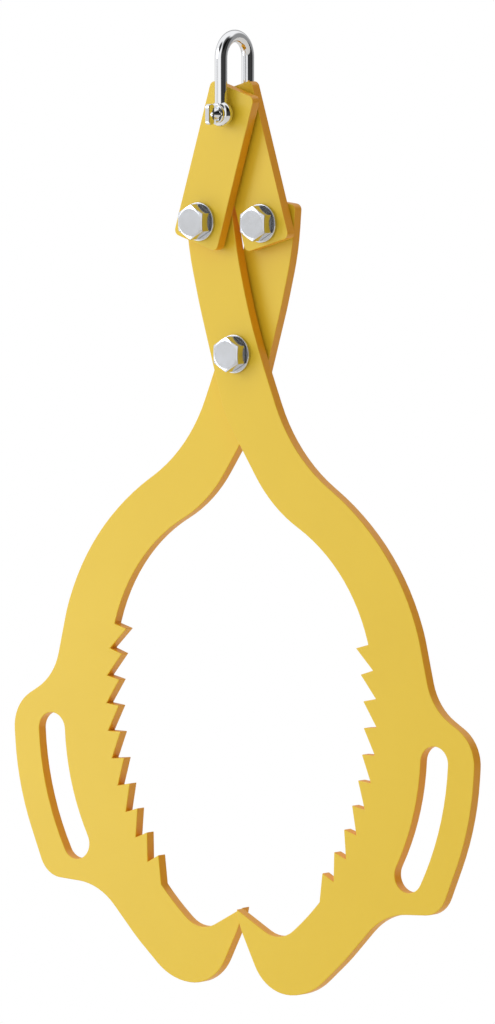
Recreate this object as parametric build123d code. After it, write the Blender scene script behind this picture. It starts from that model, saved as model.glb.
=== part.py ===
from build123d import *
import math
import os

# Log lifting tongs, closed and hanging from their shackle. Millimetres, +Z up, the viewer at -Y.
# Origin: middle of the shackle bow, on the underside of its crown, where the crane hook pulls.
# Plates lie in three layers along Y: left link, then front jaw and right link, then rear jaw.

# Plates and the gaps between their layers
PLATE = 10.0
WASHER_THICKNESS = 3.0
CORNER_RADIUS = 5.5

# Shackle
ROD = 11.0
CROWN_TO_PIN = 62.0
EYE_DIAMETER = 23.0
PIN_DIAMETER = 12.0
SHACKLE_SIDE_PLAY = 2.0
EYE_ROUNDING = 5.0
COLLAR_DIAMETER = 17.0
COLLAR_THICKNESS = 3.0
COLLAR_CHAMFER = 0.8
NECK_DIAMETER = 10.5
NECK_TIP_DIAMETER = 5.6
NECK_LENGTH = 3.2
NECK_ROOT = 1.2
TAB_HEIGHT = 18.4
TAB_LENGTH = 8.2
TAB_THICKNESS = 4.4
TAB_CORNER_RADIUS = 3.4
TAB_ROUNDING = 0.7
TAB_HOLE = 3.4
PIN_STICK_OUT = 1.2
PIN_CHAMFER = 1.0

# Links and arms of the scissor
BAR_WIDTH = 50.0
LINK_PITCH = 100.0
LINK_PIN_END = 22.9
LINK_BOLT_END = 19.8
ARM_PITCH = 119.5
ARM_END = 19.2
ARM_END_TILT = 6.0
HALF_SPREAD = 29.4

# Hex bolts, washers and lock nuts
BOLT_DIAMETER = 18.0
BOLT_LENGTH = 45.0
BOLT_CHAMFER = 1.6
HEX_FLATS = 27.0
HEX_FACE_DIAMETER = 23.4
HEX_BEVEL_ANGLE = 17.0
HEAD_HEIGHT = 11.8
HEAD_SEAT_DIAMETER = 25.3
HEAD_SEAT_HEIGHT = 0.6
WASHER_DIAMETER = 34.0
NUT_HEIGHT = 12.0
NUT_HEX_HEIGHT = 8.8
NUT_COLLAR_DIAMETER = 24.4
NUT_COLLAR_ROUNDING = 1.5
INSERT_HEIGHT = 2.6
INSERT_WALL = 2.1
INSERT_DEPTH = 0.7

# Clearances on the radius
PIVOT_CLEARANCE = 0.25
FIXED_CLEARANCE = 0.1
WASHER_CLEARANCE = 0.5
LOOSE_PIVOT_CLEARANCE = 1.8

# Teeth: points on one circle, roots on a larger one, both about the middle of the held log
TOOTH_COUNT = 10
TOOTH_PITCH_ANGLE = 5.8
FIRST_TOOTH_ANGLE = 15.74
TOOTH_UNDERCUT_ANGLE = 0.45
TIP_RADIUS = 231.0
ROOT_RADIUS = 245.0
BITE_CENTRE = (-88.9, -314.2)

# Hand slot: an arc slot with round ends; its length is between the middles of those ends
SLOT_MIDDLE = (210.8, -398.5)
SLOT_TILT = -15.6
SLOT_RADIUS = 237.3
SLOT_LENGTH = 105.2
SLOT_WIDTH = 29.4

# Jaw outline from its main pivot hole: x, z and corner radius of each corner
SHOULDER = [(62.4, -86.8, 151.0), (126.4, -128.2, 240.0), (181.8, -180.0, 214.0), (202.0, -237.2, 150.0)]
HANDLE = [(216.7, -298.7, 51.0), (264.2, -327.2, 36.0), (259.2, -399.7, 250.0), (225.7, -479.3, 25.0)]
HEEL = [(164.6, -482.7, 61.0), (122.0, -527.2, 200.0), (82.9, -561.7, 59.0), (34.1, -563.7, 42.2)]
CLAW_NOSE = (4.6, -505.5, 60.0)
CLAW_TIP = (1.5, -491.0, 0.0)
CLAW_THROAT = (49.8, -517.3, 28.0)
CLAW_ROOT_ANGLE = -50.5
THROAT = [(127.6, -181.7, 160.0), (40.2, -133.9, 132.0), (-12.2, -54.6, 101.0)]

# The arm's two sides in the same way, but with x counted from half the bar's width
ARM_OUTER_SIDE = [(-22.8, 86.2, 500.0), (-6.7, 22.4, 500.0)]
ARM_INNER_SIDE = [(-15.6, 41.4, 453.0), (-27.9, 90.6, 250.0)]

# Heights of the pivots
PIN_Z = -CROWN_TO_PIN
BOLT_Z = PIN_Z - math.sqrt(LINK_PITCH**2 - HALF_SPREAD**2)
MAIN_Z = BOLT_Z - math.sqrt(ARM_PITCH**2 - HALF_SPREAD**2)

# Front faces of the layers; the first two lie evenly about the middle of the shackle
LAYER_STEP = PLATE + WASHER_THICKNESS
FIRST_LAYER = -PLATE - WASHER_THICKNESS / 2
SECOND_LAYER = FIRST_LAYER + LAYER_STEP
THIRD_LAYER = SECOND_LAYER + LAYER_STEP


def polar(centre, radius, angle):
    """Point on a circle, with the angle in degrees from +X."""
    turn = math.radians(angle)
    return (centre[0] + radius * math.cos(turn), centre[1] + radius * math.sin(turn))


def rounded_path(corners):
    """Straight runs and tangent arcs through corners given as x, y and corner radius."""
    edges = []
    start = Vector(*corners[0][:2])
    for before, corner, after in zip(corners, corners[1:], corners[2:]):
        here = Vector(*corner[:2])
        back = (Vector(*before[:2]) - here).normalized()
        ahead = (Vector(*after[:2]) - here).normalized()
        half_angle = math.radians(back.get_angle(ahead)) / 2
        cut = corner[2] / math.tan(half_angle)
        bisector = (back + ahead).normalized()
        middle = here + bisector * (corner[2] / math.sin(half_angle) - corner[2])
        edges.append(Line(start, here + back * cut))
        edges.append(ThreePointArc(here + back * cut, middle, here + ahead * cut))
        start = here + ahead * cut
    edges.append(Line(start, Vector(*corners[-1][:2])))
    return edges


def plate(face, front):
    """Flat plate cut to a face drawn in X and Z, with its front at the given Y."""
    return Pos(0, front, 0) * extrude(Plane.XZ * face, PLATE, dir=(0, 1, 0))


def disc(radius, front, back, x=0.0, z=0.0):
    """Round bar along Y."""
    return Pos(x, (front + back) / 2, z) * Rot(90, 0, 0) * Cylinder(radius, back - front)


def cone_along_y(front_radius, back_radius, front, back, x=0.0, z=0.0):
    """Tapered bar along Y, with its radius at each end."""
    taper = Cone(back_radius, front_radius, back - front)
    return Pos(x, (front + back) / 2, z) * Rot(90, 0, 0) * taper


def hexagon(front, back, x, z, bevelled_back):
    """Hex prism along Y, corners up and down, bevelled to a round face in front and maybe behind."""
    outline = RegularPolygon(HEX_FLATS / 2, 6, major_radius=False, rotation=90)
    body = Pos(x, front, z) * extrude(Plane.XZ * outline, back - front, dir=(0, 1, 0))
    face_radius = HEX_FACE_DIAMETER / 2
    wide_radius = face_radius + (back - front) / math.tan(math.radians(HEX_BEVEL_ANGLE))
    body &= cone_along_y(face_radius, wide_radius, front, back, x, z)
    if bevelled_back:
        body &= cone_along_y(wide_radius, face_radius, front, back, x, z)
    return body


def teeth():
    """Corners of the saw edge, from the top root down to the last one."""
    points = [polar(BITE_CENTRE, ROOT_RADIUS, FIRST_TOOTH_ANGLE)]
    for number in range(TOOTH_COUNT):
        tip_angle = FIRST_TOOTH_ANGLE - number * TOOTH_PITCH_ANGLE
        root_angle = tip_angle - TOOTH_PITCH_ANGLE + TOOTH_UNDERCUT_ANGLE
        points.append(polar(BITE_CENTRE, TIP_RADIUS, tip_angle))
        points.append(polar(BITE_CENTRE, ROOT_RADIUS, root_angle))
    return points


def arm_end():
    """Outer and inner corner of the arm's top, past its bolt hole."""
    tilt = math.radians(ARM_END_TILT)
    along = Vector(-math.sin(tilt), math.cos(tilt))
    across = Vector(math.cos(tilt), math.sin(tilt))
    bolt = Vector(-HALF_SPREAD, BOLT_Z - MAIN_Z)
    middle = bolt + along * ARM_END
    right = middle + across * (BAR_WIDTH / 2)
    left = middle - across * (BAR_WIDTH / 2)
    return (right.X, right.Y, CORNER_RADIUS), (left.X, left.Y, CORNER_RADIUS)


def arm_side(corners, side):
    """Corners along one side of the arm (1 outer, -1 inner), set out by half the bar's width."""
    return [(x + side * BAR_WIDTH / 2, z, radius) for x, z, radius in corners]


def jaw_outline():
    """Outline of the front jaw, with its main pivot at 0, 0."""
    right_corner, left_corner = arm_end()
    top_middle = [(right + left) / 2 for right, left in zip(right_corner, left_corner)]
    saw = teeth()
    throat_end = polar(BITE_CENTRE, ROOT_RADIUS, CLAW_ROOT_ANGLE)
    last_root_angle = FIRST_TOOTH_ANGLE - TOOTH_COUNT * TOOTH_PITCH_ANGLE + TOOTH_UNDERCUT_ANGLE
    under_teeth = polar(BITE_CENTRE, ROOT_RADIUS, (CLAW_ROOT_ANGLE + last_root_angle) / 2)
    back = arm_side(ARM_OUTER_SIDE, 1) + SHOULDER + HANDLE + HEEL
    edges = rounded_path([top_middle, right_corner] + back + [CLAW_NOSE, CLAW_TIP])
    edges += rounded_path([CLAW_TIP, CLAW_THROAT, throat_end])
    edges.append(ThreePointArc(throat_end, under_teeth, saw[-1]))
    edges.append(Polyline(*reversed(saw)))
    edges += rounded_path([saw[0]] + THROAT + arm_side(ARM_INNER_SIDE, -1) + [left_corner, top_middle])
    return make_face(Curve() + edges)


def hand_slot():
    """Arc slot for the hand, behind the teeth."""
    centre = polar(SLOT_MIDDLE, -SLOT_RADIUS, SLOT_TILT)
    turn = math.degrees(SLOT_LENGTH / SLOT_RADIUS)
    return SlotArc(CenterArc(centre, SLOT_RADIUS, SLOT_TILT - turn / 2, turn), SLOT_WIDTH)


def jaw(front, bolt_hole_radius, mirrored):
    """One jaw with its arm, teeth, claw, hand slot and two pivot holes."""
    main_hole = Circle(BOLT_DIAMETER / 2 + PIVOT_CLEARANCE)
    bolt_hole = Pos(-HALF_SPREAD, BOLT_Z - MAIN_Z) * Circle(bolt_hole_radius)
    face = jaw_outline() - hand_slot() - main_hole - bolt_hole
    solid = Pos(0, 0, MAIN_Z) * plate(face, front)
    return mirror(solid, Plane.YZ) if mirrored else solid


def link(front, side):
    """Straight link from the shackle pin down to the bolt on the given side (-1 left, 1 right)."""
    tilt = math.degrees(math.asin(HALF_SPREAD / LINK_PITCH)) * side
    length = LINK_PIN_END + LINK_PITCH + LINK_BOLT_END
    body = Pos(0, LINK_PIN_END - length / 2) * RectangleRounded(BAR_WIDTH, length, CORNER_RADIUS)
    pin_hole = Circle(PIN_DIAMETER / 2 + PIVOT_CLEARANCE)
    bolt_hole = Pos(0, -LINK_PITCH) * Circle(BOLT_DIAMETER / 2 + FIXED_CLEARANCE)
    face = Rot(0, 0, tilt) * (body - pin_hole - bolt_hole)
    return Pos(0, 0, PIN_Z) * plate(face, front)


def washer(front, x, z):
    """Flat washer on a pivot bolt."""
    outer = disc(WASHER_DIAMETER / 2, front, front + WASHER_THICKNESS, x, z)
    return outer - disc(BOLT_DIAMETER / 2 + WASHER_CLEARANCE, front, front + WASHER_THICKNESS, x, z)


def bolt(seat, x, z):
    """Hex bolt with its head standing in front of the seat and its shank running back."""
    head_back = seat - HEAD_SEAT_HEIGHT
    head = hexagon(seat - HEAD_HEIGHT, head_back, x, z, False)
    head += disc(HEAD_SEAT_DIAMETER / 2, head_back, seat, x, z)
    radius = BOLT_DIAMETER / 2
    end = seat + BOLT_LENGTH
    shank = disc(radius, seat, end - BOLT_CHAMFER, x, z)
    return head + shank + cone_along_y(radius, radius - BOLT_CHAMFER, end - BOLT_CHAMFER, end, x, z)


def insert_seat(front, x, z):
    """Room in a lock nut's collar that the nylon insert fills."""
    back = front + NUT_HEIGHT - INSERT_DEPTH
    return disc(BOLT_DIAMETER / 2 + INSERT_WALL, back - INSERT_HEIGHT, back, x, z)


def lock_nut(front, x, z):
    """Hex lock nut with a round collar at the back that holds the insert."""
    nut = hexagon(front, front + NUT_HEX_HEIGHT, x, z, True)
    collar = disc(NUT_COLLAR_DIAMETER / 2, front, front + NUT_HEIGHT, x, z)
    collar = fillet(collar.edges().sort_by(Axis.Y)[-1], NUT_COLLAR_ROUNDING)
    bore = disc(BOLT_DIAMETER / 2 + FIXED_CLEARANCE, front, front + NUT_HEIGHT, x, z)
    return nut + collar - bore - insert_seat(front, x, z)


def nut_insert(front, x, z):
    """Nylon ring in the lock nut's collar."""
    bore = disc(BOLT_DIAMETER / 2 + FIXED_CLEARANCE, front, front + NUT_HEIGHT, x, z)
    return insert_seat(front, x, z) - bore


def pivot_set(name, first_plate, x, z):
    """Bolt, washers, lock nut and insert that hold two plates together at one pivot."""
    head_seat = first_plate - WASHER_THICKNESS
    between = first_plate + PLATE
    behind = between + WASHER_THICKNESS + PLATE
    nut_front = behind + WASHER_THICKNESS
    return {
        name + "_bolt": bolt(head_seat, x, z),
        name + "_head_washer": washer(head_seat, x, z),
        name + "_spacer_washer": washer(between, x, z),
        name + "_nut_washer": washer(behind, x, z),
        name + "_lock_nut": lock_nut(nut_front, x, z),
        name + "_nut_insert": nut_insert(nut_front, x, z),
    }


def shackle_bow():
    """Bent round bar with a forged eye at each end."""
    eye_front = PLATE + WASHER_THICKNESS / 2 + SHACKLE_SIDE_PLAY
    leg = eye_front + ROD / 2
    bend_z = ROD / 2 - leg
    path = Curve() + [
        Line((0, -leg, PIN_Z), (0, -leg, bend_z)),
        ThreePointArc((0, -leg, bend_z), (0, 0, ROD / 2), (0, leg, bend_z)),
        Line((0, leg, bend_z), (0, leg, PIN_Z)),
    ]
    bar = sweep(Plane(origin=(0, -leg, PIN_Z), z_dir=(0, 0, 1)) * Circle(ROD / 2), path)
    for side in (-1, 1):
        inner, outer = sorted((side * eye_front, side * (eye_front + ROD)))
        eye = disc(EYE_DIAMETER / 2, inner, outer, 0, PIN_Z)
        bar += fillet(eye.edges().filter_by(GeomType.CIRCLE), EYE_ROUNDING)
    reach = eye_front + ROD
    return bar - disc(PIN_DIAMETER / 2 + PIVOT_CLEARANCE, -reach, reach, 0, PIN_Z)


def shackle_pin():
    """Screw pin with a collar and a flat tab that the fingers turn."""
    radius = PIN_DIAMETER / 2
    eye_face = PLATE + WASHER_THICKNESS / 2 + SHACKLE_SIDE_PLAY + ROD
    end = eye_face + PIN_STICK_OUT
    collar_face = -eye_face - COLLAR_THICKNESS
    tab_root = collar_face - NECK_LENGTH
    tab_middle = tab_root - TAB_LENGTH / 2
    shank = disc(radius, -eye_face, end - PIN_CHAMFER, 0, PIN_Z)
    shank += cone_along_y(radius, radius - PIN_CHAMFER, end - PIN_CHAMFER, end, 0, PIN_Z)
    collar = disc(COLLAR_DIAMETER / 2, collar_face, -eye_face, 0, PIN_Z)
    collar = chamfer(collar.edges().sort_by(Axis.Y)[0], COLLAR_CHAMFER)
    neck_end = tab_root - NECK_ROOT
    neck = cone_along_y(NECK_TIP_DIAMETER / 2, NECK_DIAMETER / 2, neck_end, collar_face, 0, PIN_Z)
    outline = Plane.YZ * RectangleRounded(TAB_LENGTH, TAB_HEIGHT, TAB_CORNER_RADIUS)
    tab = extrude(Pos(-TAB_THICKNESS / 2, tab_middle, PIN_Z) * outline, TAB_THICKNESS, dir=(1, 0, 0))
    tab = fillet(tab.edges().filter_by(Axis.X, reverse=True), TAB_ROUNDING)
    hole = Pos(0, tab_middle, PIN_Z) * Rot(0, 90, 0) * Cylinder(TAB_HOLE / 2, TAB_HEIGHT)
    return shank + collar + neck + tab - hole


def build_parts():
    """Every piece by its node name."""
    parts = {
        "shackle_bow": shackle_bow(),
        "shackle_pin": shackle_pin(),
        "left_link": link(FIRST_LAYER, -1),
        "right_link": link(SECOND_LAYER, 1),
        "front_jaw": jaw(SECOND_LAYER, BOLT_DIAMETER / 2 + PIVOT_CLEARANCE, False),
        "rear_jaw": jaw(THIRD_LAYER, BOLT_DIAMETER / 2 + LOOSE_PIVOT_CLEARANCE, True),
    }
    parts.update(pivot_set("left_pivot", FIRST_LAYER, -HALF_SPREAD, BOLT_Z))
    parts.update(pivot_set("right_pivot", SECOND_LAYER, HALF_SPREAD, BOLT_Z))
    parts.update(pivot_set("main_pivot", SECOND_LAYER, 0.0, MAIN_Z))
    return parts


os.makedirs("parts", exist_ok=True)
for node, solid in build_parts().items():
    export_step(solid, f"parts/{node}.step")
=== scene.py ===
import math
from collections import namedtuple

import bmesh
import bpy
from mathutils import Matrix, Vector


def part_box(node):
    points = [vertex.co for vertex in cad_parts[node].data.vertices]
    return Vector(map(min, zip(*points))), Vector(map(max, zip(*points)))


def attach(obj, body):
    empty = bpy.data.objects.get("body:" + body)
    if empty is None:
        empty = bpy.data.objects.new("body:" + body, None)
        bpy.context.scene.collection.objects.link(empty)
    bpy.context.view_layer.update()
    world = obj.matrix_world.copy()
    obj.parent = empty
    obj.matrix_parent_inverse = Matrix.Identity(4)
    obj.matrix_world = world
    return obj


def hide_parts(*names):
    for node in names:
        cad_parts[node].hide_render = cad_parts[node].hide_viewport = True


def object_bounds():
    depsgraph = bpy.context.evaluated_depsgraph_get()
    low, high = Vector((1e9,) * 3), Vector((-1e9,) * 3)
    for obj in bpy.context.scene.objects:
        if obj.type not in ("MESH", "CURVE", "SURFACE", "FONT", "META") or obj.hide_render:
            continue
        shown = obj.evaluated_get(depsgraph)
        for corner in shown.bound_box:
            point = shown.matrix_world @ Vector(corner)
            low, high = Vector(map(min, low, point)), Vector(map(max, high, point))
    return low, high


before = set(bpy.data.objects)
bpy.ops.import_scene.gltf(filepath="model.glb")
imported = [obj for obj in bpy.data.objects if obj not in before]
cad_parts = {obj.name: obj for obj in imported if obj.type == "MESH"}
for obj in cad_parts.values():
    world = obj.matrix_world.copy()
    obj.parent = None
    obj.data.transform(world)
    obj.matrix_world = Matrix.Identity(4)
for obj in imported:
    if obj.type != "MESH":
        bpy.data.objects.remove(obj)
cad_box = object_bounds()

# Everything is in metres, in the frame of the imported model: +Z up, the bolt heads face -Y
MM = 0.001

# Where the photograph was taken from: a long lens, a little above the middle of the tongs
CAMERA_PLACE = Vector((5.11449, -6.50780, 0.28587))
CAMERA_AZIMUTH = math.radians(38.083)
CAMERA_ELEVATION = math.radians(4.824)
CAMERA_ROLL = math.radians(0.042)
LENS = 332.2
SENSOR = 36.0

# Plates, each on the body of its own name, and how round the coat makes their cut edges
PLATES = ("left_link", "right_link", "front_jaw", "rear_jaw")
PLATE_EDGE_RADIUS = 0.8 * MM
PLATE_EDGE_ANGLE = math.radians(60)

# Hex bolts, washers and lock nuts of the three pivots, and the body that carries each set
PIVOT_BODIES = {"left_pivot": "left_link", "right_pivot": "right_link", "main_pivot": "front_jaw"}
PIVOT_PARTS = ("bolt", "head_washer", "spacer_washer", "nut_washer", "lock_nut")
SHACKLE_PARTS = ("shackle_bow", "shackle_pin")

# Rounding of the edges of bolts, nuts and washers, and the steps that draw any rounding
HARDWARE_EDGE_RADIUS = 0.35 * MM
WASHER_EDGE_RADIUS = 0.6 * MM
HARDWARE_EDGE_ANGLE = math.radians(35)
EDGE_STEPS = 3

# Coarse thread of the 18 mm bolts: its radii and pitch, how much of the bolt's end has it, the chamfer
# at the point, and the shares of a pitch that lie flat at the crest and at the root
BOLT_RADIUS = 9.0 * MM
THREAD_ROOT_RADIUS = 7.5 * MM
THREAD_PITCH = 2.5 * MM
THREAD_LENGTH = 11.0 * MM
POINT_CHAMFER = 1.6 * MM
CREST_SHARE = 0.125
ROOT_SHARE = 0.25

# How finely the thread is drawn, and the angle past which its ridges are crisp
THREAD_STEPS_ROUND = 48
THREAD_ROWS = 56
THREAD_SHARP_ANGLE = math.radians(32)

# Inputs of the node group that makes the thread
THREAD_INPUTS = {"Start": "NodeSocketVector", "Length": "NodeSocketFloat", "Pitch": "NodeSocketFloat",
                 "Crest Radius": "NodeSocketFloat", "Root Radius": "NodeSocketFloat",
                 "Point Chamfer": "NodeSocketFloat"}

# How far the plain shank reaches into the thread, and how far before its chamfer its point is taken from
SHANK_OVERLAP = 0.5 * MM
POINT_MARGIN = 0.1 * MM

# Points of a mesh this near are one, and faces that turn less than this are one flat
WELD_DISTANCE = 0.001 * MM
FLAT_ANGLE = math.radians(0.3)

# How squarely a coated surface faces along Y where it is all cut edge, and where it is all plate face
# The cut edge gets a deeper amber: painted shade for the dimmer light on the plates' sides
SHADED_EDGE_FACING = 0.25
PLATE_FACE_FACING = 0.85

# Grain of the finishes: slow waves in the coat's tone and its orange peel, and the uneven gloss of
# the zinc, the chrome and the nylon. The last three are drawn coarser than they are, so that they show
COAT_WAVE = 70.0 * MM
COAT_PEEL = 2.2 * MM
COAT_PEEL_DEPTH = 0.2 * MM
ZINC_GRAIN = 4.0 * MM
CHROME_GRAIN = 5.5 * MM
NYLON_GRAIN = 3.3 * MM

# Sockets of a Mix node that mixes colours
MIX_LOW = 6
MIX_HIGH = 7
MIX_RESULT = 2

# Softboxes, which all face the middle of the tongs: name, place, width in metres and power in watts
LAMP_COLOUR = "E8F0FF"
LAMPS = (("key_upper_left", (-1.5, -1.6, 0.5), 1.2, 14.0),
         ("fill_lower_left", (-1.45, -1.2, -0.8), 0.7, 3.9))

# Something in the room: its azimuth from the bolt heads' side and its elevation, how far from its middle
# it starts and where it is full, all in degrees, and the share of the light that it takes
Thing = namedtuple("Thing", "azimuth elevation start full share")

# Soft light on matt surfaces: its strength at eye level, the share it gains above and loses below, and
# the warm dim side of the room
SOFT_LIGHT = 0.79
CEILING_SHARE = 0.35
WARM_SIDE = Thing(100.0, 0.0, start=95.0, full=20.0, share=1.0)
WARM_COLOUR = "967839"

# White room that metals mirror, with a black wall at the right and a grey one behind at each side. The
# walls are a little taller than wide, because directions are squashed before they meet them
WHITE_WALL = 1.1
WALL_SQUASH = 0.9
DARK_WALLS = (Thing(82.0, 0.0, start=54.0, full=42.0, share=0.955),
              Thing(145.0, 0.0, start=40.0, full=20.0, share=0.70),
              Thing(-142.0, 0.0, start=52.0, full=25.0, share=0.60))

# Things that metals mirror in it: dark ones high in front and high at the right, and a pale one where
# the bolt heads look
MIRRORED_THINGS = (Thing(-10.0, 42.0, start=26.0, full=10.0, share=0.95),
                   Thing(75.0, 45.0, start=34.0, full=18.0, share=0.90),
                   Thing(-38.0, -5.0, start=26.0, full=10.0, share=0.27))

# Floor that the tongs hang over, and the share of plain white that the camera sees on it under them. It
# grows from the shadow's radius on and is whole at the clear radius
FLOOR_DROP = 0.32
FLOOR_RADIUS = 4.0
FLOOR_STEPS_ROUND = 96
FLOOR_WHITE_SHARE = 0.8
FLOOR_SHADOW_RADIUS = 0.5
FLOOR_CLEAR_RADIUS = 1.6


def linear(hex_colour):
    """Turn an sRGB hex colour into the linear RGBA that shaders use, by the formula of that standard."""
    colour = []
    for place in (0, 2, 4):
        share = int(hex_colour[place:place + 2], 16) / 255
        colour.append(share / 12.92 if share <= 0.04045 else ((share + 0.055) / 1.055) ** 2.4)
    return colour + [1.0]


def add_node(tree, kind, settings=None, inputs=None):
    """Add a node with its settings; a socket, or a node for its first output, is linked to its input."""
    node = tree.nodes.new(kind)
    for name, value in (settings or {}).items():
        setattr(node, name, value)
    for name, value in (inputs or {}).items():
        if isinstance(value, bpy.types.Node):
            value = value.outputs[0]
        if isinstance(value, bpy.types.NodeSocket):
            tree.links.new(value, node.inputs[name])
        else:
            node.inputs[name].default_value = value
    return node


def new_material(name):
    """Node material with an empty tree."""
    material = bpy.data.materials.new(name)
    material.use_nodes = True
    material.node_tree.nodes.clear()
    return material, material.node_tree


def powder_coat():
    """Polyester powder coat, sprayed and baked on cut steel plate.

    It gives the eye an even satin yellow with a very fine orange peel. The cut edges of the plates
    get a deeper, nearly amber colour, which is painted shade for the dimmer light on those sides.
    """
    material, tree = new_material("yellow_powder_coat")
    place = add_node(tree, "ShaderNodeTexCoord")
    facing = add_node(tree, "ShaderNodeSeparateXYZ", None, {0: place.outputs["Normal"]})
    flat = add_node(tree, "ShaderNodeMath", {"operation": "ABSOLUTE"}, {0: facing.outputs["Y"]})
    free_of_edge_shade = add_node(tree, "ShaderNodeMapRange", {"interpolation_type": "SMOOTHSTEP"},
                       {"Value": flat, "From Min": SHADED_EDGE_FACING, "From Max": PLATE_FACE_FACING})
    wave = add_node(tree, "ShaderNodeTexNoise", None,
                    {"Vector": place.outputs["Object"], "Scale": 1 / COAT_WAVE, "Detail": 2.0})
    face = add_node(tree, "ShaderNodeMix", {"data_type": "RGBA"},
                    {"Factor": wave.outputs["Fac"], MIX_LOW: linear("E8C52E"), MIX_HIGH: linear("E4C02A")})
    # Painted shade: surfaces that face across Y, the cut edges, get the deeper amber in place of the face
    # colour
    tone = add_node(tree, "ShaderNodeMix", {"data_type": "RGBA"},
                    {"Factor": free_of_edge_shade, MIX_LOW: linear("EEA818"), MIX_HIGH: face.outputs[MIX_RESULT]})
    peel = add_node(tree, "ShaderNodeTexNoise", None,
                    {"Vector": place.outputs["Object"], "Scale": 1 / COAT_PEEL, "Detail": 1.0})
    bump = add_node(tree, "ShaderNodeBump", None,
                    {"Height": peel.outputs["Fac"], "Strength": 0.04, "Distance": COAT_PEEL_DEPTH})
    shader = add_node(tree, "ShaderNodeBsdfPrincipled", None,
                      {"Base Color": tone.outputs[MIX_RESULT], "Roughness": 0.36, "IOR": 1.5,
                       "Normal": bump})
    add_node(tree, "ShaderNodeOutputMaterial", None, {"Surface": shader})
    return material


def plated_metal(name, colour, grain, detail, glossiest, dullest):
    """Bright plate on steel, a mirror whose gloss changes a little from place to place."""
    material, tree = new_material(name)
    place = add_node(tree, "ShaderNodeTexCoord")
    smear = add_node(tree, "ShaderNodeTexNoise", None,
                     {"Vector": place.outputs["Object"], "Scale": 1 / grain, "Detail": detail})
    gloss = add_node(tree, "ShaderNodeMapRange", None,
                     {"Value": smear.outputs["Fac"], "To Min": glossiest, "To Max": dullest})
    shader = add_node(tree, "ShaderNodeBsdfPrincipled", None,
                      {"Base Color": linear(colour), "Metallic": 1.0, "Roughness": gloss})
    add_node(tree, "ShaderNodeOutputMaterial", None, {"Surface": shader})
    return material


def zinc_plate():
    """Bright zinc plate on forged steel fasteners.

    It gives the eye a cool light metal, mirror-like on the flats with a slightly uneven gloss.
    """
    return plated_metal("bright_zinc_plate", "D2D3D5", ZINC_GRAIN, detail=3.0, glossiest=0.10, dullest=0.22)


def bright_chrome():
    """Polished nickel-chrome plate on the forged shackle.

    It gives the eye a mirror with white highlights and a black stripe down each leg.
    """
    return plated_metal("bright_chrome", "E6E7E9", CHROME_GRAIN, detail=2.0, glossiest=0.03, dullest=0.08)


def nylon():
    """Natural nylon ring, moulded. It gives the eye a milky, slightly waxy off-white."""
    material, tree = new_material("natural_nylon")
    place = add_node(tree, "ShaderNodeTexCoord")
    milk = add_node(tree, "ShaderNodeTexNoise", None,
                    {"Vector": place.outputs["Object"], "Scale": 1 / NYLON_GRAIN, "Detail": 2.0})
    tone = add_node(tree, "ShaderNodeMix", {"data_type": "RGBA"},
                    {"Factor": milk.outputs["Fac"], MIX_LOW: linear("E4E5DF"), MIX_HIGH: linear("D9DAD2")})
    shader = add_node(tree, "ShaderNodeBsdfPrincipled", None,
                      {"Base Color": tone.outputs[MIX_RESULT], "Roughness": 0.45, "IOR": 1.53,
                       "Subsurface Weight": 0.1})
    add_node(tree, "ShaderNodeOutputMaterial", None, {"Surface": shader})
    return material


def floor_material():
    """Pale studio floor that keeps the shadow near the tongs and is plain white farther out."""
    material, tree = new_material("pale_floor")
    ray = add_node(tree, "ShaderNodeLightPath")
    place = add_node(tree, "ShaderNodeTexCoord")
    far = add_node(tree, "ShaderNodeVectorMath", {"operation": "LENGTH"}, {0: place.outputs["Object"]})
    plain = add_node(tree, "ShaderNodeMapRange", {"interpolation_type": "SMOOTHSTEP"},
                     {"Value": far.outputs["Value"], "From Min": FLOOR_SHADOW_RADIUS,
                      "From Max": FLOOR_CLEAR_RADIUS, "To Min": FLOOR_WHITE_SHARE, "To Max": 1.0})
    share = add_node(tree, "ShaderNodeMath", {"operation": "MULTIPLY"},
                     {0: ray.outputs["Is Camera Ray"], 1: plain})
    paint = add_node(tree, "ShaderNodeBsdfDiffuse", None, {"Color": linear("F2F2F0")})
    white = add_node(tree, "ShaderNodeEmission", None, {"Color": linear("FFFFFF"), "Strength": 1.0})
    mix = add_node(tree, "ShaderNodeMixShader", None, {0: share, 1: paint, 2: white})
    add_node(tree, "ShaderNodeOutputMaterial", None, {"Surface": mix})
    return material


def left_over(tree, way, thing):
    """Share of light that something in the room leaves in one direction: all of it beyond its start."""
    turn = math.radians(thing.azimuth)
    lift = math.radians(thing.elevation)
    aim = (math.sin(turn) * math.cos(lift), -math.cos(turn) * math.cos(lift), math.sin(lift))
    near = add_node(tree, "ShaderNodeVectorMath", {"operation": "DOT_PRODUCT"}, {0: way, 1: aim})
    return add_node(tree, "ShaderNodeMapRange", {"interpolation_type": "SMOOTHSTEP"},
                    {"Value": near.outputs["Value"], "From Min": math.cos(math.radians(thing.start)),
                     "From Max": math.cos(math.radians(thing.full)), "To Min": 1.0,
                     "To Max": 1 - thing.share})


def mirrored_room(tree, way):
    """Light that metals mirror: the white wall, less what the dark walls and the things take."""
    tall = add_node(tree, "ShaderNodeVectorMath", {"operation": "MULTIPLY"},
                    {0: way, 1: (1.0, 1.0, WALL_SQUASH)})
    level = add_node(tree, "ShaderNodeVectorMath", {"operation": "NORMALIZE"}, {0: tall})
    shares = [left_over(tree, level, wall) for wall in DARK_WALLS]
    shares += [left_over(tree, way, thing) for thing in MIRRORED_THINGS]
    light = WHITE_WALL
    for share in shares:
        light = add_node(tree, "ShaderNodeMath", {"operation": "MULTIPLY"}, {0: light, 1: share})
    return light


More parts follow.
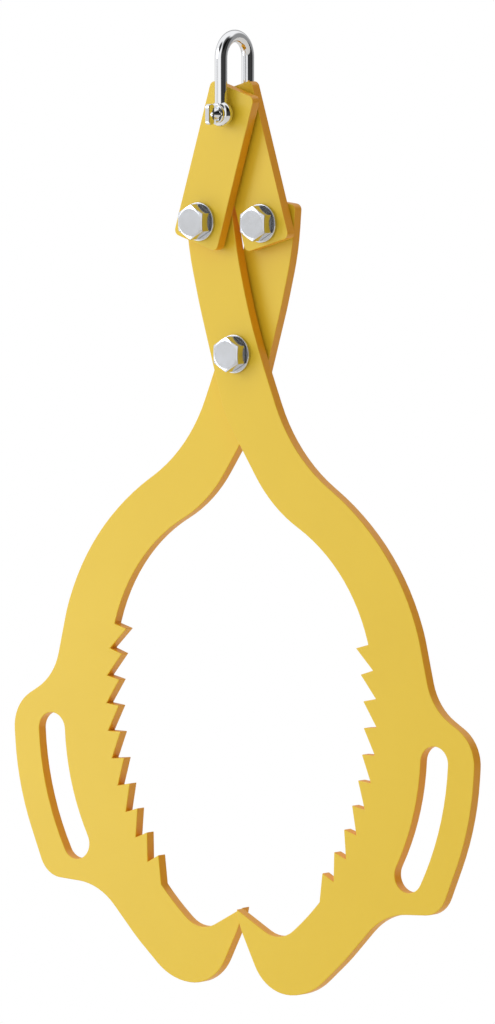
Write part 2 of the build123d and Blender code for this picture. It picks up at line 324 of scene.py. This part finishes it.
def soft_light(tree, way):
    """Light that matt surfaces get: white and stronger from above, warm and dim from one side."""
    height = add_node(tree, "ShaderNodeSeparateXYZ", None, {0: way})
    strength = add_node(tree, "ShaderNodeMapRange", None,
                        {"Value": height.outputs["Z"], "From Min": -1.0,
                         "To Min": SOFT_LIGHT * (1 - CEILING_SHARE),
                         "To Max": SOFT_LIGHT * (1 + CEILING_SHARE)})
    colour = add_node(tree, "ShaderNodeMix", {"data_type": "RGBA"},
                      {"Factor": left_over(tree, way, WARM_SIDE), MIX_LOW: linear(WARM_COLOUR),
                       MIX_HIGH: linear("FFFFFF")})
    return add_node(tree, "ShaderNodeVectorMath", {"operation": "SCALE"},
                    {0: colour.outputs[MIX_RESULT], "Scale": strength})


def studio_world():
    """Room around the tongs: one for metals, one for matt surfaces, and pure white for the camera."""
    world = bpy.data.worlds.new("studio")
    world.use_nodes = True
    tree = world.node_tree
    tree.nodes.clear()
    way = add_node(tree, "ShaderNodeTexCoord").outputs["Generated"]
    ray = add_node(tree, "ShaderNodeLightPath")
    lit = add_node(tree, "ShaderNodeMix", {"data_type": "RGBA"},
                   {"Factor": ray.outputs["Is Glossy Ray"], MIX_LOW: soft_light(tree, way),
                    MIX_HIGH: mirrored_room(tree, way)})
    seen = add_node(tree, "ShaderNodeMix", {"data_type": "RGBA"},
                    {"Factor": ray.outputs["Is Camera Ray"], MIX_LOW: lit.outputs[MIX_RESULT],
                     MIX_HIGH: linear("FFFFFF")})
    background = add_node(tree, "ShaderNodeBackground", None,
                          {"Color": seen.outputs[MIX_RESULT], "Strength": 1.0})
    add_node(tree, "ShaderNodeOutputWorld", None, {"Surface": background})
    bpy.context.scene.world = world


def photo_camera():
    """Camera at the photograph's place, turned as it was."""
    data = bpy.data.cameras.new("photo_camera")
    data.sensor_width = SENSOR
    data.lens = LENS
    camera = bpy.data.objects.new("photo_camera", data)
    bpy.context.scene.collection.objects.link(camera)
    flat = math.cos(CAMERA_ELEVATION)
    back = Vector((math.sin(CAMERA_AZIMUTH) * flat, -math.cos(CAMERA_AZIMUTH) * flat,
                   math.sin(CAMERA_ELEVATION)))
    turn = Matrix.Rotation(CAMERA_ROLL, 3, back) @ (-back).to_track_quat("-Z", "Y").to_matrix()
    camera.matrix_world = Matrix.Translation(CAMERA_PLACE) @ turn.to_4x4()
    bpy.context.scene.camera = camera


def softbox(name, place, target, size, power):
    """Square area lamp at one point, facing another."""
    data = bpy.data.lights.new(name, "AREA")
    data.size = size
    data.energy = power
    data.color = linear(LAMP_COLOUR)[:3]
    lamp = bpy.data.objects.new(name, data)
    bpy.context.scene.collection.objects.link(lamp)
    aim = (Vector(target) - Vector(place)).to_track_quat("-Z", "Y")
    lamp.matrix_world = Matrix.Translation(place) @ aim.to_matrix().to_4x4()


def studio():
    """Floor, softboxes and the room around them."""
    lowest = cad_box[0].z
    middle = (cad_box[0] + cad_box[1]) / 2
    bpy.ops.mesh.primitive_circle_add(vertices=FLOOR_STEPS_ROUND, radius=FLOOR_RADIUS, fill_type="NGON",
                                      location=(0, 0, lowest - FLOOR_DROP))
    floor = bpy.context.object
    floor.name = "floor"
    floor.data.materials.append(floor_material())
    for name, place, size, power in LAMPS:
        softbox(name, place, middle, size, power)
    studio_world()


def own_object(name, mesh):
    """Object with its place in its mesh, linked to the scene."""
    piece = bpy.data.objects.new(name, mesh)
    bpy.context.scene.collection.objects.link(piece)
    return piece


def clean_mesh(mesh, weld=False):
    """Turn a mesh's faces outwards; welding first joins its loose triangles and makes its flats whole."""
    solid = bmesh.new()
    solid.from_mesh(mesh)
    if weld:
        bmesh.ops.remove_doubles(solid, verts=solid.verts, dist=WELD_DISTANCE)
        bmesh.ops.dissolve_limit(solid, angle_limit=FLAT_ANGLE, verts=solid.verts, edges=solid.edges)
    bmesh.ops.recalc_face_normals(solid, faces=solid.faces)
    solid.to_mesh(mesh)
    solid.free()


def merged_copy(node, name):
    """Piece with a welded copy of a CAD node's mesh."""
    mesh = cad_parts[node].data.copy()
    mesh.name = name
    mesh.materials.clear()
    clean_mesh(mesh, weld=True)
    return own_object(name, mesh)


def evaluated_mesh(piece):
    """Plain mesh of an object with its modifiers worked in."""
    bpy.context.view_layer.update()
    return bpy.data.meshes.new_from_object(piece.evaluated_get(bpy.context.evaluated_depsgraph_get()))


def round_edges(piece, radius, angle):
    """Bevel the edges that turn more than an angle, and keep the flats flat to the eye."""
    piece.data.shade_smooth()
    bevel = piece.modifiers.new("edges", "BEVEL")
    bevel.width = radius
    bevel.segments = EDGE_STEPS
    bevel.limit_method = "ANGLE"
    bevel.angle_limit = angle
    bevel.miter_outer = "MITER_SHARP"
    bevel.use_clamp_overlap = True
    weigh = piece.modifiers.new("flats", "WEIGHTED_NORMAL")
    weigh.keep_sharp = True
    final = evaluated_mesh(piece)
    piece.modifiers.clear()
    piece.data = final


def coat(piece, material):
    """Give a piece one material in place of those it has."""
    piece.data.materials.clear()
    piece.data.materials.append(material)


def dress(piece, material, body, node):
    """Give a finished piece its coat and its body, and hide the CAD node that it stands for."""
    coat(piece, material)
    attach(piece, body)
    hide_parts(node)


def plates(paint):
    """The four plates, with the small rounding that the coat leaves on their cut edges."""
    for plate in PLATES:
        piece = merged_copy(plate, plate + "_plate")
        round_edges(piece, PLATE_EDGE_RADIUS, PLATE_EDGE_ANGLE)
        dress(piece, paint, plate, plate)


def thread_tree(zinc):
    """Node group of a closed screw thread along Y: a grid rolled up, its radius set by the helix."""
    tree = bpy.data.node_groups.new("screw_thread", "GeometryNodeTree")
    sockets = {}
    for name, kind in THREAD_INPUTS.items():
        sockets[name] = tree.interface.new_socket(name, in_out="INPUT", socket_type=kind).identifier
    tree.interface.new_socket("Geometry", in_out="OUTPUT", socket_type="NodeSocketGeometry")
    given = add_node(tree, "NodeGroupInput").outputs

    # A grid one unit wide, whose columns go round the thread and whose rows go along it
    grid = add_node(tree, "GeometryNodeMeshGrid", None,
                    {"Size X": 1.0, "Size Y": 1.0, "Vertices X": THREAD_STEPS_ROUND + 1,
                     "Vertices Y": THREAD_ROWS})
    centred = add_node(tree, "GeometryNodeInputPosition")
    place = add_node(tree, "ShaderNodeVectorMath", {"operation": "ADD"}, {0: centred, 1: (0.5, 0.5, 0.0)})
    across = add_node(tree, "ShaderNodeSeparateXYZ", None, {0: place})
    turn = across.outputs["X"]
    row = across.outputs["Y"]

    # The first and the last row lie in the ends, and shrink to a point there, which closes the thread
    one_row = 1 / (THREAD_ROWS - 1)
    height = add_node(tree, "ShaderNodeMapRange", None,
                      {"Value": row, "From Min": one_row, "From Max": 1 - one_row,
                       "To Max": given["Length"]})
    open_row = add_node(tree, "ShaderNodeMath", {"operation": "COMPARE"},
                        {0: row, 1: 0.5, 2: 0.5 - one_row / 2})

    # Depth of the cut, from how far a point lies from the middle of the crest: 0 there and 1 at the root
    pitches = add_node(tree, "ShaderNodeMath", {"operation": "DIVIDE"}, {0: height, 1: given["Pitch"]})
    helix = add_node(tree, "ShaderNodeMath", {"operation": "ADD"}, {0: pitches, 1: turn})
    phase = add_node(tree, "ShaderNodeMath", {"operation": "FRACT"}, {0: helix})
    swing = add_node(tree, "ShaderNodeMath", {"operation": "MULTIPLY_ADD"}, {0: phase, 1: 2.0, 2: -1.0})
    flank = add_node(tree, "ShaderNodeMath", {"operation": "ABSOLUTE"}, {0: swing})
    cut = add_node(tree, "ShaderNodeMapRange", None,
                   {"Value": flank, "From Min": CREST_SHARE, "From Max": 1 - ROOT_SHARE,
                    "To Min": given["Crest Radius"], "To Max": given["Root Radius"]})

    # The chamfer at the point cuts the crests that stand past its cone
    to_end = add_node(tree, "ShaderNodeMath", {"operation": "SUBTRACT"}, {0: given["Length"], 1: height})
    point = add_node(tree, "ShaderNodeMath", {"operation": "SUBTRACT"},
                     {0: given["Crest Radius"], 1: given["Point Chamfer"]})
    cone = add_node(tree, "ShaderNodeMath", {"operation": "ADD"}, {0: point, 1: to_end})
    ridge = add_node(tree, "ShaderNodeMath", {"operation": "MINIMUM"}, {0: cut, 1: cone})
    radius = add_node(tree, "ShaderNodeMath", {"operation": "MULTIPLY"}, {0: ridge, 1: open_row})

    # Each point goes out by its radius and round by its turn
    angle = add_node(tree, "ShaderNodeMath", {"operation": "MULTIPLY"}, {0: turn, 1: -2 * math.pi})
    unrolled = add_node(tree, "ShaderNodeCombineXYZ", None, {"X": radius, "Y": height})
    rolled = add_node(tree, "ShaderNodeVectorRotate", {"rotation_type": "Y_AXIS"},
                      {"Vector": unrolled, "Angle": angle})
    skin = add_node(tree, "GeometryNodeSetPosition", None,
                    {"Geometry": grid, "Position": rolled, "Offset": given["Start"]})
    closed = add_node(tree, "GeometryNodeMergeByDistance", None,
                      {"Geometry": skin, "Distance": WELD_DISTANCE})
    real = add_node(tree, "GeometryNodeRealizeInstances", None, {"Geometry": closed})
    plated = add_node(tree, "GeometryNodeSetMaterial", None, {"Geometry": real, "Material": zinc})
    add_node(tree, "NodeGroupOutput", None, {0: plated})
    return tree, sockets


def thread(name, tree, sockets, start, zinc):
    """One bolt's screw thread as a plain mesh with crisp ridges."""
    piece = own_object(name, bpy.data.meshes.new(name))
    rule = piece.modifiers.new("thread", "NODES")
    rule.node_group = tree
    sizes = {"Start": start, "Length": THREAD_LENGTH, "Pitch": THREAD_PITCH,
             "Crest Radius": BOLT_RADIUS, "Root Radius": THREAD_ROOT_RADIUS,
             "Point Chamfer": POINT_CHAMFER}
    for size, value in sizes.items():
        rule[sockets[size]] = value
    final = evaluated_mesh(piece)
    piece.modifiers.clear()
    clean_mesh(final)
    final.shade_smooth()
    final.set_sharp_from_angle(angle=THREAD_SHARP_ANGLE)
    piece.data = final
    coat(piece, zinc)
    return piece


def threaded_end(bolt, pivot, body, tree, sockets, zinc):
    """Give a bolt its thread, and draw its plain point back so that the thread shows in its place."""
    low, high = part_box(pivot + "_bolt")
    middle = (low + high) / 2
    start = (middle.x, high.y - THREAD_LENGTH, middle.z)
    ridge = thread(pivot + "_thread", tree, sockets, start, zinc)
    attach(ridge, body)
    for vertex in bolt.data.vertices:
        if vertex.co.y > high.y - POINT_CHAMFER - POINT_MARGIN:
            vertex.co.y -= THREAD_LENGTH - SHANK_OVERLAP


def hardware(zinc, ring):
    """Bolts, washers and nuts, with the small rounding that forging and stamping leave."""
    tree, sockets = thread_tree(zinc)
    for pivot, body in PIVOT_BODIES.items():
        for part in PIVOT_PARTS:
            node = pivot + "_" + part
            piece = merged_copy(node, node + "_zinc")
            if part == "bolt":
                threaded_end(piece, pivot, body, tree, sockets, zinc)
            radius = WASHER_EDGE_RADIUS if part.endswith("washer") else HARDWARE_EDGE_RADIUS
            round_edges(piece, radius, HARDWARE_EDGE_ANGLE)
            dress(piece, zinc, body, node)
        coat(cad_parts[pivot + "_nut_insert"], ring)


def shackle(chrome):
    """The bow and its screw pin, which are shown as the CAD has them."""
    for part in SHACKLE_PARTS:
        coat(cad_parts[part], chrome)


photo_camera()
studio()
plates(powder_coat())
hardware(zinc_plate(), nylon())
shackle(bright_chrome())

bpy.context.scene.view_settings.view_transform = "Standard"
